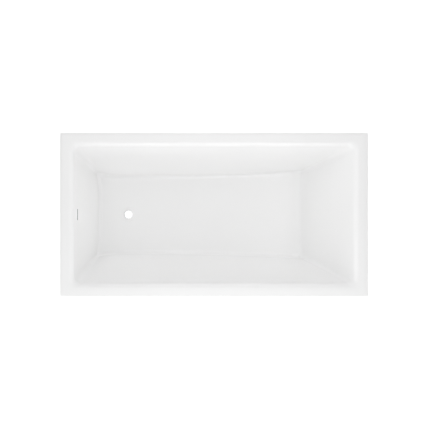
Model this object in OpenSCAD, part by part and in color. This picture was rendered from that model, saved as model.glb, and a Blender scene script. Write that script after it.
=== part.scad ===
// Rectangular free-standing bath.
// A formed inner shell and a separate outer skirt stand on a steel frame with levelling feet, with a
// push-to-open waste in the floor and a slot overflow in the end wall.
// Millimetres, Z up. The origin is on the ground under the middle of the bath. X runs from the drain end,
// on the negative side, to the sloping backrest. Front is the negative Y side.

/* [Overall] */
// Length over the rim
bath_length = 1525; // [1500:1550]
// Width over the rim
bath_width = 810; // [800:830]
// Height of the rim above the ground
bath_height = 580; // [570:600]

/* [Rim] */
// Width of the flat top of the rim
rim_flat = 39; // [36:42]
// Depth of the lip that hangs over the skirt
lip_depth = 14; // [10:18]
// Thickness of the shell
shell_wall = 6; // [5:7]
// Radius of the rim's outer corners
rim_corner = 4; // [3:8]
// Round between the rim and the walls
rim_round = 32; // [28:36]
// Round between the rim and the backrest
back_round = 42; // [36:46]

/* [Basin] */
// Depth from the rim to the floor at the drain
basin_depth = 420; // [410:425]
// Lean of the drain end wall from upright
drain_end_tilt = 17.5; // [16:0.5:19]
// Lean of the two long walls
side_tilt = 20; // [18:0.5:21]
// Lean of the backrest
backrest_tilt = 33; // [31:0.5:35]
// Round between the walls and the floor
floor_round = 30; // [26:36]
// Angle at which that round meets the floor
floor_crease = 14; // [8:0.5:18]
// Rise of the floor from the drain to the backrest
floor_fall = 6; // [2:8]
// Corner radius of the basin at the flat of the rim
upper_corner = 34; // [30:40]
// Corner radius of the basin at the foot of the walls
lower_corner = 16; // [14:20]

/* [Skirt] */
// Thickness of the skirt
skirt_wall = 6; // [5:7]
// Step of the skirt's face in from the rim
skirt_inset = 2; // [1:3]
// Gap between the skirt and the ground
skirt_gap = 10; // [6:16]

/* [Waste] */
// Distance of the drain from the middle of the bath
drain_offset = 424; // [415:430]
// Diameter of the push cap
cap_d = 42.8; // [41:43.4]
// Diameter of the waste's top flange
flange_d = 69; // [66:70]
// Diameter of the outlet spigot
outlet_d = 40; // [38:42]

/* [Overflow] */
// Depth of the overflow slot below the rim
slot_drop = 76; // [70:82]
// Clear length of the slot
slot_length = 57; // [50:60]
// Clear height of the slot
slot_height = 9; // [7:10]
// Outer diameter of the overflow hose
hose_d = 22; // [20:23]

/* [Frame] */
// Side of the square rails
rail = 30; // [28:32]
// Side of the square posts
post = 20; // [18:22]
// Wall of the rails and posts
tube_wall = 2; // [1.5:0.5:3]
// Thickness of the base board
board_t = 18; // [16:20]
// Distance of each foot from the middle line
foot_offset = 300; // [260:330]
// Diameter of the foot pads
pad_d = 60; // [50:64]
// Diameter of the threaded stems
stem_d = 10; // [8:12]

/* [Hidden] */
$fn = 48;
half_l = bath_length / 2;
half_w = bath_width / 2;
floor_z = bath_height - basin_depth;
under_z = floor_z - shell_wall;
lip_z = bath_height - lip_depth;
drain_x = -drain_offset;

// Each basin wall: reach of the rim's flat from the middle, lean, and round at the rim.
drain_end = [half_l - rim_flat, drain_end_tilt, rim_round];
backrest = [half_l - rim_flat, backrest_tilt, back_round];
long_side = [half_w - rim_flat, side_tilt, rim_round];

// The floor's outline runs out into its four corners by these amounts.
flare_drain = 20;
flare_back = 26;
flare_end = 14;
flare_waist = 3;

// Divisions of the basin's outline
corner_steps = 5;
long_steps = 14;
short_steps = 8;
// Drops below the rim, and heights above the floor, at which the basin's walls are sectioned
rim_drops = [0, 1.2, 4.5, 9.6, 15.6, 22, 100, 190, 280, 360];
foot_heights = [20, 12, 6, 2, 0];

board_z = under_z - board_t;
long_z = board_z - rail;
cross_z = long_z - rail;
board_box = [[-535, -178], [415, 178]];
board_corner = 20;
board_hole_d = 116;
long_y = 130;
long_ends = [-530, 425];
cross_x = [-500, -30, 400];
cap_t = 3;

batten_w = 24;
batten_h = 30;
tongue_t = 4;
tongue_gap = 0.5;
batten_inset = shell_wall + tongue_t + 2 * tongue_gap;
batten_top = bath_height - shell_wall;
batten_z = batten_top - batten_h;
post_y = half_w - batten_inset - batten_w / 2;
rail_end = post_y + post / 2;
plate_t = 3;
plate_l = 60;
post_screw_x = 21;

screw_d = 5;
screw_head_d = 10;
screw_head_t = 4;
bolt_d = 8;
hex_d = 15;
hex_t = 6;
hole_gap = 0.1;
running_gap = 0.05;
board_screw_x = [-450, -340, -120, 60, 220, 340];

foot_x = [for (x = cross_x) for (side = [-1, 1]) x];
foot_y = [for (x = cross_x) for (side = [-1, 1]) side * foot_offset];
foot_count = len(foot_x);
pad_h = 12;
stem_top = cross_z + rail + 34;
lock_nut_t = 8;
lock_nut_d = 20;

throat_r = 19.5;
tail_r = 24.5;
hole_r = 26;
recess_z = floor_z - 4;
seal_t = 1;
flange_top = floor_z + 0.2;
ledge_z = floor_z - 2.2;
tail_z = floor_z - 29;
boss_z = floor_z - 10;
boss_r = 42;
spoke_t = 4;
hub_r = 8;
hub_bore = 4.5;
stem_r = 3.5;
sleeve_r = 6;
sleeve_top = floor_z - 8;
sleeve_foot = floor_z - 34;
seal_z = ledge_z + 0.3;
cap_z = seal_z + 1;
plug_foot = floor_z - 30;
under_seal_t = 4;
body_r = 29;
body_top = boss_z - under_seal_t;
body_flange_r = 36;
outlet_z = 45;
outlet_top = 100;
outlet_wall = 3;

hose_r = hose_d / 2;
hose_wall = 2.5;
hose_z = long_z + rail / 2;
hose_bend = 100;
hose_x = drain_x - 282;
hose_top = 464;
hose_foot_x = drain_x - 34;
socket_r = 15;
socket_gap = 0.3;
inlet_end = drain_x - 44;
spigot_end = 452;
nut_r = 19;
nut_t = 18;
nut_web = 6;
cone_t = 1.8;

slot_z = bath_height - slot_drop;
slot_x = flare_waist * (slot_drop / basin_depth) ^ 2 - reach(slot_z, drain_end, 0);
sleeve_wall = 1.2;
gasket_z = shell_wall + 0.05;
gasket_t = 3;
housing_l = 76;
housing_h = 36;
housing_d = 30;
housing_wall = 3;
trim_t = 1;
trim_edge = 3;

// ---- Shape of the basin ----

// Reach of a wall from the middle at height z. The surface is the inside one moved out by "out".
function reach(z, wall, out) =
    let (
        tilt = wall[1],
        round_r = wall[2] - out,
        drop = bath_height - out - z,
        join = round_r * (1 - sin(tilt)),
        top = wall[0] - round_r * cos(tilt),
        foot_r = floor_round + out,
        centre = floor_z + floor_round * cos(floor_crease),
        tangent = centre - foot_r * sin(tilt),
        foot = top - (bath_height - out - tangent - join) * tan(tilt) - foot_r * cos(tilt)
    )
    drop < join ? wall[0] - sqrt(max(0, round_r ^ 2 - (round_r - drop) ^ 2))
    : z < tangent ? foot + sqrt(max(0, foot_r ^ 2 - (centre - z) ^ 2))
    : top - (drop - join) * tan(tilt);

function quarter(x, y, r, start) =
    [for (i = [0:corner_steps]) [x, y] + r * [cos(start + 90 * i / corner_steps),
                                              sin(start + 90 * i / corner_steps)]];

// Points between p and q, closer together near the two ends.
function spread(p, q, n) = [for (i = [1:n - 1]) p + (q - p) * (1 - cos(180 * i / n)) / 2];

// Rounded rectangle, anticlockwise, always with the same number of points.
function outline(low_x, high_x, half_y, r) =
    let (
        a = quarter(high_x - r, half_y - r, r, 0),
        b = quarter(low_x + r, half_y - r, r, 90),
        c = quarter(low_x + r, r - half_y, r, 180),
        d = quarter(high_x - r, r - half_y, r, 270)
    )
    concat(
        a, spread(a[corner_steps], b[0], long_steps),
        b, spread(b[corner_steps], c[0], short_steps),
        c, spread(c[corner_steps], d[0], long_steps),
        d, spread(d[corner_steps], a[0], short_steps)
    );

// Moves a point out towards the corners of the outline it belongs to, by the share "share".
function flared(p, low_x, high_x, half_y, share) =
    let (
        s = min(1, max(0, (p.x - low_x) / (high_x - low_x))),
        v = p.y / half_y,
        side = flare_drain * (1 - s) ^ 20 + flare_back * s ^ 2.5 - flare_waist,
        end = flare_end * abs(v) ^ 3 - flare_waist
    )
    [p.x + share * end * (2 * s - 1), p.y + share * side * v];

// One section of the basin at height z.
function basin_ring(z, out) =
    let (
        low_x = -reach(z, drain_end, out),
        high_x = reach(z, backrest, out),
        half_y = reach(z, long_side, out),
        depth = min(1, max(0, (bath_height - out - z) / basin_depth)),
        r = lower_corner + (upper_corner - lower_corner) * (1 - depth) + out
    )
    [for (p = outline(low_x, high_x, half_y, r))
        let (
            q = flared(p, low_x, high_x, half_y, depth ^ 2),
            rise = out > 0 ? 0 : floor_fall * depth ^ 2 * max(0, q.x - drain_x) / (2 * drain_offset)
        )
        [q.x, q.y, z + rise]];

// One section of the rim, set in from its outer edge.
function rim_ring(inset, z) =
    [for (p = outline(inset - half_l, half_l - inset, half_w - inset, max(1, rim_corner - inset)))
        [p.x, p.y, z]];

function basin_levels(out) =
    concat([for (d = rim_drops) bath_height - out - d], [for (h = foot_heights) floor_z - out + h]);

inner_rings = [for (z = basin_levels(0)) basin_ring(z, 0)];
outer_levels = basin_levels(shell_wall);
outer_rings = [for (i = [len(outer_levels) - 1:-1:0]) basin_ring(outer_levels[i], shell_wall)];
lip_rings = [
    rim_ring(shell_wall, bath_height - shell_wall),
    rim_ring(shell_wall, lip_z),
    rim_ring(0.8, lip_z),
    rim_ring(0, lip_z + 0.8),
    rim_ring(0, bath_height - 3.5),
    rim_ring(1, bath_height - 1),
    rim_ring(3.5, bath_height)
];
shell_rings = concat(outer_rings, lip_rings, inner_rings);

// Closed solid through a list of rings, closed at both ends by a fan about a point.
module loft(rings, first, last) {
    n = len(rings[0]);
    m = len(rings);
    points = concat([first], [for (ring = rings) each ring], [last]);
    sides = [for (j = [0:m - 2]) for (i = [0:n - 1]) for (half = [0, 1])
        let (a = 1 + j * n + i, b = 1 + j * n + (i + 1) % n)
        half == 0 ? [a, b, b + n] : [a, b + n, a + n]];
    starts = [for (i = [0:n - 1]) [0, 1 + (i + 1) % n, 1 + i]];
    ends = [for (i = [0:n - 1]) [m * n + 1, 1 + (m - 1) * n + i, 1 + (m - 1) * n + (i + 1) % n]];
    polyhedron([for (p = points) p], [for (f = concat(starts, sides, ends)) [f[2], f[1], f[0]]]);
}

// ---- General shapes ----

// Slab between two plan corners, with upright edges rounded by r.
module slab(low, high, z, h, r) {
    size = high - low;
    translate([low.x + r, low.y, z]) cube([size.x - 2 * r, size.y, h]);
    translate([low.x, low.y + r, z]) cube([size.x, size.y - 2 * r, h]);
    for (x = [low.x + r, high.x - r]) for (y = [low.y + r, high.y - r])
        translate([x, y, z]) cylinder(h = h, r = r);
}

// Slab set in from the rim's outer edge.
module rim_slab(inset, z, h) {
    size = [half_l - inset, half_w - inset];
    slab(-size, size, z, h, max(1, rim_corner - inset / 2));
}

// Slot with round ends along Y, through a thickness along Z.
module slot_bar(length, height, z, h) {
    run = length / 2 - height / 2;
    translate([-height / 2, -run, z]) cube([height, 2 * run, h]);
    for (y = [-run, run]) translate([0, y, z]) cylinder(h = h, d = height);
}

// Square tube along Z, from z over a height h.
module square_tube(side, z, h) {
    inside = side - 2 * tube_wall;
    translate([0, 0, z]) difference() {
        translate([-side / 2, -side / 2, 0]) cube([side, side, h]);
        translate([-inside / 2, -inside / 2, -1]) cube([inside, inside, h + 2]);
    }
}

// Frame of the end wall at the overflow: Z points out through the wall, X up along it, Y across.
module at_overflow() {
    translate([slot_x, 0, slot_z]) rotate([0, -90 - drain_end_tilt, 0]) children();
}

module at_drain() {
    translate([drain_x, 0, 0]) children();
}

module at_feet() {
    for (i = [0:foot_count - 1]) translate([foot_x[i], foot_y[i], 0]) children();
}

module at_crossings() {
    for (x = cross_x) for (y = [-long_y, long_y]) translate([x, y, 0]) children();
}

// ---- Bath ----

module bath_shell() {
    color("white") difference() {
        union() {
            loft(shell_rings, [drain_x, 0, under_z], [drain_x, 0, floor_z]);
            at_drain() translate([0, 0, boss_z]) cylinder(h = floor_z - boss_z - 1, r = boss_r);
        }
        at_drain() translate([0, 0, recess_z]) cylinder(h = 20, r = flange_d / 2 + 0.5);
        at_drain() translate([0, 0, boss_z - 5]) cylinder(h = 40, r = hole_r);
        at_overflow() slot_bar(slot_length + 3, slot_height + 3, -10, 30);
    }
}

module outer_skirt() {
    shoulder = lip_z - 1;
    return_w = 26;
    color("white") difference() {
        union() {
            rim_slab(skirt_inset, skirt_gap, shoulder - skirt_gap);
            rim_slab(shell_wall + tongue_gap, shoulder - 1, batten_top - 0.5 - shoulder + 1);
        }
        rim_slab(skirt_inset + skirt_wall, skirt_gap + skirt_wall, shoulder - 6 - skirt_gap - skirt_wall);
        rim_slab(batten_inset - tongue_gap, shoulder - 7, 40);
        rim_slab(return_w, 0, 40);
    }
}

// Timber batten bonded under the rim between two plan corners, with its pairs of screw holes.
module batten(low, high, screw_y) {
    color("burlywood") difference() {
        translate([low.x, low.y, batten_z]) cube([high.x - low.x, high.y - low.y, batten_h]);
        for (x = cross_x) for (dx = [-post_screw_x, post_screw_x])
            translate([x + dx, screw_y, batten_z - 1]) cylinder(h = 19, d = screw_d);
    }
}

module long_batten(side) {
    outer = half_w - batten_inset;
    y = [side * outer, side * (outer - batten_w)];
    end = half_l - batten_inset;
    batten([-end, min(y)], [end, max(y)], side * post_y);
}

module end_batten(side) {
    outer = half_l - batten_inset;
    x = [side * outer, side * (outer - batten_w)];
    end = half_w - batten_inset - batten_w;
    color("burlywood") translate([min(x), -end, batten_z]) cube([batten_w, 2 * end, batten_h]);
}

module base_board() {
    color("tan") difference() {
        slab(board_box[0], board_box[1], board_z, board_t, board_corner);
        at_drain() translate([0, 0, board_z - 1]) cylinder(h = board_t + 2, d = board_hole_d);
        at_board_screws() translate([0, 0, board_z - 1]) cylinder(h = 15, d = screw_d);
    }
}

// ---- Frame ----

module at_board_screws() {
    for (x = board_screw_x) for (y = [-long_y, long_y]) translate([x, y, 0]) children();
}

// Rail under the board, along X.
module long_rail(side) {
    color("silver") difference() {
        translate([long_ends[0], side * long_y, long_z + rail / 2]) rotate([0, 90, 0])
            square_tube(rail, 0, long_ends[1] - long_ends[0]);
        at_board_screws() translate([0, 0, long_z - 1]) cylinder(h = rail + 2, d = screw_d + hole_gap);
        at_crossings() translate([0, 0, long_z - 1]) cylinder(h = rail / 2, d = bolt_d + hole_gap);
    }
}

// Rail across the bath, along Y, with holes for the bolts and the feet.
module cross_rail(x) {
    color("silver") difference() {
        translate([x, rail_end, cross_z + rail / 2]) rotate([90, 0, 0]) square_tube(rail, 0, 2 * rail_end);
        at_crossings() translate([0, 0, cross_z - 1]) cylinder(h = rail + 2, d = bolt_d + hole_gap);
        at_feet() translate([0, 0, cross_z - 1]) cylinder(h = rail + 2, d = stem_d + 1);
    }
}

// Upright from the end of a cross rail to the batten, with a plate at each end.
module frame_post(i) {
    top = batten_z - plate_t;
    color("silver") translate([foot_x[i], sign(foot_y[i]) * post_y, 0]) difference() {
        union() {
            square_tube(post, long_z + plate_t, top - long_z - plate_t);
            translate([-rail / 2, -post / 2, long_z]) cube([rail, post, plate_t]);
            translate([-plate_l / 2, -post / 2, top]) cube([plate_l, post, plate_t]);
        }
        for (x = [-post_screw_x, post_screw_x])
            translate([x, 0, top - 1]) cylinder(h = plate_t + 2, d = screw_d + hole_gap);
    }
}

// Plastic plug and cover for the open end of a rail, with its outer face towards +Z.
module end_cap() {
    plug = rail - 2 * tube_wall - 0.4;
    translate([-rail / 2, -rail / 2, 0]) cube([rail, rail, cap_t]);
    translate([-plug / 2, -plug / 2, -10]) cube([plug, plug, 10.5]);
}

module rail_end_caps() {
    color("dimgray") {
        for (x = cross_x) for (side = [-1, 1])
            translate([x, side * rail_end, cross_z + rail / 2]) rotate([-90 * side, 0, 0]) end_cap();
        for (y = [-long_y, long_y]) for (side = [0, 1])
            translate([long_ends[side], y, long_z + rail / 2]) rotate([0, side == 0 ? -90 : 90, 0]) end_cap();
    }
}

module frame_bolts() {
    color("gainsboro") at_crossings() {
        translate([0, 0, cross_z - hex_t]) cylinder(h = hex_t, d = hex_d, $fn = 6);
        translate([0, 0, cross_z - 1]) cylinder(h = rail + 1 + tube_wall + hex_t + 4, d = bolt_d);
    }
}

module frame_nuts() {
    color("gainsboro") at_crossings() translate([0, 0, long_z + tube_wall]) difference() {
        cylinder(h = hex_t, d = hex_d, $fn = 6);
        translate([0, 0, -1]) cylinder(h = hex_t + 2, d = bolt_d);
    }
}

// Round-headed screw pointing up, with its head under z.
module screw_up(z, length) {
    translate([0, 0, z - screw_head_t]) cylinder(h = screw_head_t, d1 = screw_head_d - 3, d2 = screw_head_d);
    translate([0, 0, z - 0.5]) cylinder(h = length + 0.5, d = screw_d);
}

module board_screws() {
    color("goldenrod") at_board_screws() screw_up(long_z, rail + 14);
}

module post_screws() {
    color("goldenrod") for (i = [0:foot_count - 1]) for (x = [-post_screw_x, post_screw_x])
        translate([foot_x[i] + x, sign(foot_y[i]) * post_y, 0]) screw_up(batten_z - plate_t, plate_t + 17);
}

// ---- Levelling feet ----

module foot_pad(i) {
    edge_h = 5;
    socket_r = stem_d / 2 + 0.1;
    color("dimgray") translate([foot_x[i], foot_y[i], 0]) rotate_extrude()
        polygon([[0, 0], [pad_d / 2 - 1, 0], [pad_d / 2, 1], [pad_d / 2, edge_h], [14, pad_h],
                 [socket_r, pad_h], [socket_r, 4], [0, 4]]);
}

module foot_stem(i) {
    collar_h = 8;
    color("silver") translate([foot_x[i], foot_y[i], 0]) {
        translate([0, 0, 4]) cylinder(h = stem_top - 4, d = stem_d);
        translate([0, 0, pad_h]) cylinder(h = collar_h, d = lock_nut_d - 2, $fn = 6);
    }
}

module foot_lock_nuts() {
    color("gainsboro") at_feet() for (z = [cross_z - lock_nut_t, cross_z + rail])
        translate([0, 0, z]) difference() {
            cylinder(h = lock_nut_t, d = lock_nut_d, $fn = 6);
            translate([0, 0, -1]) cylinder(h = lock_nut_t + 2, r = stem_d / 2 + running_gap);
        }
}

// ---- Waste ----

// Top ring with a threaded tail and a spider that carries the latch.
module waste_flange() {
    color("white") at_drain() {
        rotate_extrude() polygon([
            [flange_d / 2, recess_z + seal_t], [flange_d / 2, flange_top - 1], [flange_d / 2 - 1, flange_top],
            [cap_d / 2 + 1.2, flange_top], [cap_d / 2 + 0.8, flange_top - 0.4], [cap_d / 2 + 0.8, ledge_z],
            [throat_r, ledge_z], [throat_r, tail_z], [tail_r, tail_z], [tail_r, recess_z + seal_t]]);
        difference() {
            union() {
                translate([0, 0, tail_z]) cylinder(h = spoke_t, r = hub_r);
                for (a = [0, 90]) rotate([0, 0, a]) translate([-throat_r - 1, -spoke_t / 2, tail_z])
                    cube([2 * throat_r + 2, spoke_t, spoke_t]);
            }
            translate([0, 0, tail_z - 1]) cylinder(h = spoke_t + 2, r = hub_bore);
        }
    }
}

// Flat ring about the drain's axis.
module ring(inner, outer, z, h) {
    translate([0, 0, z]) difference() {
        cylinder(h = h, r = outer);
        translate([0, 0, -1]) cylinder(h = h + 2, r = inner);
    }
}

module waste_top_seal() {
    color("gray") at_drain() ring(hole_r, flange_d / 2 - 1, recess_z, seal_t);
}

module waste_under_seal() {
    color("black") at_drain() ring(tail_r + 0.3, body_flange_r - 1, body_top, under_seal_t);
}

// Cup that screws onto the tail, with the outlet spigot below and the overflow inlet at its side.
module waste_body() {
    inside_r = tail_r + running_gap;
    outlet_r = outlet_d / 2;
    color("whitesmoke") at_drain() difference() {
        union() {
            rotate_extrude() polygon([
                [0, outlet_z], [outlet_r, outlet_z], [outlet_r, outlet_top], [body_r, outlet_top + 8],
                [body_r, body_top - 4], [body_flange_r, body_top - 4], [body_flange_r, body_top],
                [0, body_top]]);
            translate([0, 0, hose_z]) rotate([0, -90, 0]) cylinder(h = drain_x - inlet_end, r = socket_r);
        }
        rotate_extrude() polygon([
            [0, outlet_z - 1], [outlet_r - outlet_wall, outlet_z - 1], [outlet_r - outlet_wall, outlet_top + 4],
            [inside_r, outlet_top + 11], [inside_r, body_top + 1], [0, body_top + 1]]);
        translate([-32, 0, hose_z]) rotate([0, -90, 0]) cylinder(h = 40, r = hose_r + socket_gap);
        translate([0, 0, hose_z]) rotate([0, -90, 0]) cylinder(h = 40, r = hose_r - hose_wall);
    }
}

module plug_cap() {
    edge_h = 1.6;
    dome_h = 0.9;
    dome_steps = 8;
    r = cap_d / 2;
    rim_r = r - 0.4;
    // The top is part of a sphere that rises by dome_h over the cap's radius.
    dome_r = (rim_r ^ 2 + dome_h ^ 2) / (2 * dome_h);
    dome_z = cap_z + edge_h + dome_h - dome_r;
    dome = [for (i = [dome_steps:-1:0])
        let (x = rim_r * i / dome_steps)
        [x, dome_z + sqrt(dome_r ^ 2 - x ^ 2)]];
    edge = [[0, cap_z], [rim_r, cap_z], [r, cap_z + 0.4], [r, cap_z + edge_h - 0.4]];
    color("gainsboro") at_drain() rotate_extrude() polygon(concat(edge, dome));
}

module plug_seal() {
    color("black") at_drain() ring(12, throat_r + 1.2, seal_z, cap_z - seal_z);
}

module plug_stem() {
    color("goldenrod") at_drain() {
        translate([0, 0, plug_foot]) cylinder(h = cap_z - plug_foot, r = stem_r);
        ring(stem_r - 0.5, 11.5, seal_z, cap_z - seal_z);
    }
}

// Cartridge that latches the stem. It is screwed down into the hub of the spider.
module latch_sleeve() {
    shoulder = tail_z + spoke_t;
    color("goldenrod") at_drain() difference() {
        union() {
            translate([0, 0, shoulder]) cylinder(h = sleeve_top - shoulder, r = sleeve_r);
            translate([0, 0, sleeve_foot]) cylinder(h = shoulder - sleeve_foot + 1, r = hub_bore);
        }
        translate([0, 0, sleeve_foot - 1]) cylinder(h = 60, r = stem_r + running_gap);
    }
}

// Helical spring that pushes the cap open, compressed between the sleeve and the stem's collar.
module latch_spring() {
    wire_r = 0.6;
    coil_r = 4.8;
    turns = 3;
    per_turn = 14;
    sides = 8;
    low = sleeve_top + wire_r;
    high = seal_z - wire_r - 0.05;
    steps = turns * per_turn;
    rings = [for (i = [0:steps])
        let (a = 360 * i / per_turn, z = low + (high - low) * i / steps)
        [for (j = [0:sides - 1])
            let (b = 360 * j / sides, out = coil_r + wire_r * cos(b))
            [out * cos(a), out * sin(a), z + wire_r * sin(b)]]];
    end_a = 360 * turns;
    color("silver") at_drain() loft(rings, [coil_r, 0, low], [coil_r * cos(end_a), coil_r * sin(end_a), high]);
}

// ---- Overflow ----

module overflow_trim() {
    depth = shell_wall + gasket_t + 2;
    color("white") at_overflow() difference() {
        union() {
            slot_bar(slot_length + 2 * sleeve_wall, slot_height + 2 * sleeve_wall, -0.2, depth);
            slot_bar(slot_length + 2 * trim_edge, slot_height + 2 * trim_edge, -trim_t - 0.1, trim_t);
        }
        slot_bar(slot_length, slot_height, -10, 40);
    }
}

module overflow_gasket() {
    color("black") at_overflow() difference() {
        translate([-housing_h / 2, -housing_l / 2, gasket_z]) cube([housing_h, housing_l, gasket_t]);
        slot_bar(slot_length + 3, slot_height + 3, 0, 40);
    }
}

module overflow_housing() {
    face_z = gasket_z + gasket_t;
    inner = [housing_h - 2 * housing_wall, housing_l - 2 * housing_wall, housing_d - 2 * housing_wall];
    spigot_top = slot_z - 6;
    color("whitesmoke") difference() {
        union() {
            at_overflow() translate([-housing_h / 2, -housing_l / 2, face_z])
                cube([housing_h, housing_l, housing_d]);
            translate([hose_x, 0, spigot_end]) cylinder(h = spigot_top - spigot_end, r = socket_r);
        }
        at_overflow() {
            translate([-inner.x / 2, -inner.y / 2, face_z + housing_wall]) cube(inner);
            slot_bar(slot_length + 3, slot_height + 3, 0, face_z + housing_wall + 1);
        }
        translate([hose_x, 0, spigot_end - 1]) cylinder(h = 21, r = hose_r + socket_gap);
        translate([hose_x, 0, spigot_end]) cylinder(h = spigot_top - spigot_end - 2, r = hose_r - hose_wall);
    }
}

// The hose's run with radius r: down behind the end wall, round a bend and in to the waste.
module hose_run(r) {
    bend_z = hose_z + hose_bend;
    bend_x = hose_x + hose_bend;
    translate([hose_x, 0, bend_z]) cylinder(h = hose_top - bend_z, r = r);
    translate([bend_x, 0, bend_z]) rotate([90, 0, 0]) rotate_extrude(angle = 90, start = 180)
        translate([hose_bend, 0]) circle(r = r);
    translate([bend_x, 0, hose_z]) rotate([0, 90, 0]) cylinder(h = hose_foot_x - bend_x, r = r);
}

module overflow_hose() {
    color("whitesmoke") difference() {
        hose_run(hose_r);
        hose_run(hose_r - hose_wall);
    }
}

// Union nut whose open mouth faces +Z.
module hose_nut() {
    difference() {
        cylinder(h = nut_t, r = nut_r, $fn = 64);
        translate([0, 0, nut_web]) cylinder(h = nut_t, r = socket_r + 0.1);
        translate([0, 0, -1]) cylinder(h = nut_t, r = hose_r + socket_gap);
    }
}

module hose_seal() {
    difference() {
        cylinder(h = cone_t, r = socket_r - 0.2);
        translate([0, 0, -1]) cylinder(h = cone_t + 2, r = hose_r + 0.05);
    }
}

module at_upper_nut() {
    translate([hose_x, 0, spigot_end - cone_t - nut_web - 0.2]) children();
}

module at_lower_nut() {
    translate([inlet_end - cone_t - nut_web - 0.2, 0, hose_z]) rotate([0, 90, 0]) children();
}

bath_shell();
outer_skirt();
long_batten(-1);  // rim_batten_front
long_batten(1);  // rim_batten_back
end_batten(-1);  // rim_batten_drain_end
end_batten(1);  // rim_batten_backrest_end
base_board();
long_rail(-1);  // long_rail_front
long_rail(1);  // long_rail_back
for (i = [1:len(cross_x)]) cross_rail(cross_x[i - 1]);
for (i = [1:foot_count]) frame_post(i - 1);
for (i = [1:foot_count]) foot_pad(i - 1);
for (i = [1:foot_count]) foot_stem(i - 1);
rail_end_caps();
frame_bolts();
frame_nuts();
board_screws();
post_screws();
foot_lock_nuts();
waste_flange();
waste_top_seal();
waste_under_seal();
waste_body();
plug_cap();
plug_seal();
plug_stem();
latch_sleeve();
latch_spring();
overflow_trim();
overflow_gasket();
overflow_housing();
overflow_hose();
color("whitesmoke") at_upper_nut() hose_nut();  // hose_nut_upper
color("whitesmoke") at_lower_nut() hose_nut();  // hose_nut_lower
color("black") at_upper_nut() translate([0, 0, nut_web]) hose_seal();  // hose_seal_upper
color("black") at_lower_nut() translate([0, 0, nut_web]) hose_seal();  // hose_seal_lower
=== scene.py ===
"""Rectangular free-standing bath: looks, light and camera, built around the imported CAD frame."""
import math

import bmesh
import bpy
from mathutils import Matrix, Vector


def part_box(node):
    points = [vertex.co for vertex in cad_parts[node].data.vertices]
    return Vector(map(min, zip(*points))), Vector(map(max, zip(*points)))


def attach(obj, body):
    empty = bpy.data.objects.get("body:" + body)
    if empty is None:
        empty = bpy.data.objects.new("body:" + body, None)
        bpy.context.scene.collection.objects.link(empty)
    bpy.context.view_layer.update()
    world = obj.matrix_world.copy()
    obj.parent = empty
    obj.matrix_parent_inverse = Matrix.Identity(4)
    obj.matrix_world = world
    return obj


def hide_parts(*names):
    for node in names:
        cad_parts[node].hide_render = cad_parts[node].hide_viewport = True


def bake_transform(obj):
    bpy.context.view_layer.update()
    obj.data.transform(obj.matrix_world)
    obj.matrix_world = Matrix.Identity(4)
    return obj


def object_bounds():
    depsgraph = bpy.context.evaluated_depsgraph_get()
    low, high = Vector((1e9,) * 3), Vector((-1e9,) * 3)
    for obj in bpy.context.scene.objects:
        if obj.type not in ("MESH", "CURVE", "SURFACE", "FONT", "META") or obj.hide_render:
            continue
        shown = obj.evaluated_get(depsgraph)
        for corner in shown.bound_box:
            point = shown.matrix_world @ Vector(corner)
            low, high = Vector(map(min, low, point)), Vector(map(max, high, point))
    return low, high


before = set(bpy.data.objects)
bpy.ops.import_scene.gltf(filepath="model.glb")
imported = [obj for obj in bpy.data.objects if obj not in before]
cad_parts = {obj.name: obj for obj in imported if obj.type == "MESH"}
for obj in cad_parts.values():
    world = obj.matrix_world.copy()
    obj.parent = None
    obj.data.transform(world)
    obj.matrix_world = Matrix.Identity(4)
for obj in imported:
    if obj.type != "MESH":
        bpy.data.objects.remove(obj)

cad_low, cad_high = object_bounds()

# ---- Driving dimensions, in metres and degrees ----

# Flat rim, its outer corners, the lip that hangs from it, and the thickness of the shell.
RIM_FLAT = 0.039
RIM_CORNER = 0.004
LIP_DEPTH = 0.014
SHELL_WALL = 0.006

# Rounds from the rim into the basin: at three sides, and at the backrest.
RIM_ROUND = 0.032
BACK_ROUND = 0.042

# Depth of the basin, how far its walls lean, and how far the floor falls to the drain.
BASIN_DEPTH = 0.420
DRAIN_TILT = 17.5
SIDE_TILT = 20.0
BACK_TILT = 33.0
FLOOR_FALL = 0.006

# Round at the foot of the walls, and the angle at which it meets the floor.
FLOOR_ROUND = 0.030
FLOOR_CREASE = 14

# Corners of the basin in plan, at the rim and at the floor.
UPPER_CORNER = 0.034
LOWER_CORNER = 0.016

# How far the floor's outline is drawn out towards its corners, and drawn in halfway along.
FLARE_DRAIN = 0.020
FLARE_BACK = 0.026
FLARE_END = 0.014
FLARE_WAIST = 0.003

# Edges stay crisp where they turn by more than this: in the shell, and in most other pieces.
SHELL_SHARP = 11
SHARP = 35

# Skirt: its thickness, and how far inside the rim's edge its face, the end of the return at its foot
# and the two faces of its tongue are.
SKIRT_WALL = 0.006
SKIRT_INSET = 0.002
SKIRT_RETURN = 0.026
TONGUE_OUTSIDE = 0.0065
TONGUE_INSIDE = 0.0105

# Overflow: how far the slot is below the rim, its size, how much larger the hole through the wall is,
# and the trim's width and the thickness of its sleeve.
SLOT_DROP = 0.076
SLOT_LENGTH = 0.057
SLOT_HEIGHT = 0.009
HOLE_MARGIN = 0.003
TRIM_EDGE = 0.003
TRIM_SLEEVE = 0.0012

# Frame: tube, the posts' end plates, and the places of the screws.
TUBE_WALL = 0.002
TUBE_CORNER = 0.003
PLATE_T = 0.003
POST = 0.020
POST_SCREW_X = 0.021
BOARD_SCREW_X = (-0.450, -0.340, -0.120, 0.060, 0.220, 0.340)

# Bolts, screws and the stems of the feet.
BOLT_D = 0.008
BOLT_PITCH = 0.00125
HEX_D = 0.015
SCREW_D = 0.005
SCREW_PITCH = 0.002
SCREW_HEAD_T = 0.004
STEM_D = 0.010
STEM_PITCH = 0.0015
LOCK_NUT_D = 0.020
LOCK_NUT_T = 0.008

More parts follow.
